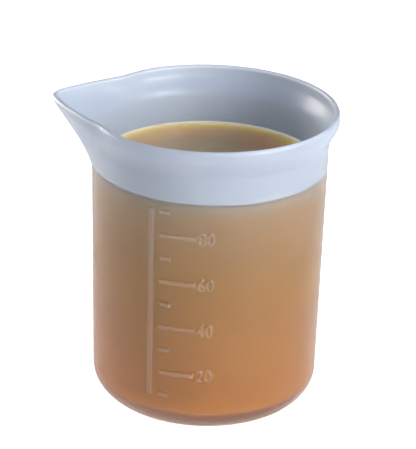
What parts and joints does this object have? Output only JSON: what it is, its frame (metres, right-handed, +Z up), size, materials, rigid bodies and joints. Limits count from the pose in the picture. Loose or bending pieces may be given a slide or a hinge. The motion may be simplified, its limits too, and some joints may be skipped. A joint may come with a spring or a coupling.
{
  "type": "silicone resin cup",
  "caption": "Frosted silicone measuring and casting cup with a pouring spout, flared lip and raised volume scale, holding an amber resin casting that lifts out.",
  "frame": {"origin": "middle of the cup's base, on the plane that it stands on", "axes": "+Z up along the cup's axis, the spout towards -X, the volume scale on the -Y side"},
  "size_m": [0.0631, 0.0558, 0.0681],
  "materials": {
    "silicone": "satin",
    "amber_resin": "gloss"
  },
  "bodies": {
    "cup": {"cup": "silicone"},
    "resin": {"resin_fill": "amber_resin"}
  },
  "joints": [
    {"name": "cast_lift", "type": "slide", "parent": "cup", "child": "resin", "axis": [0, 0, 1], "range_m": [0, 0.072]}
  ]
}
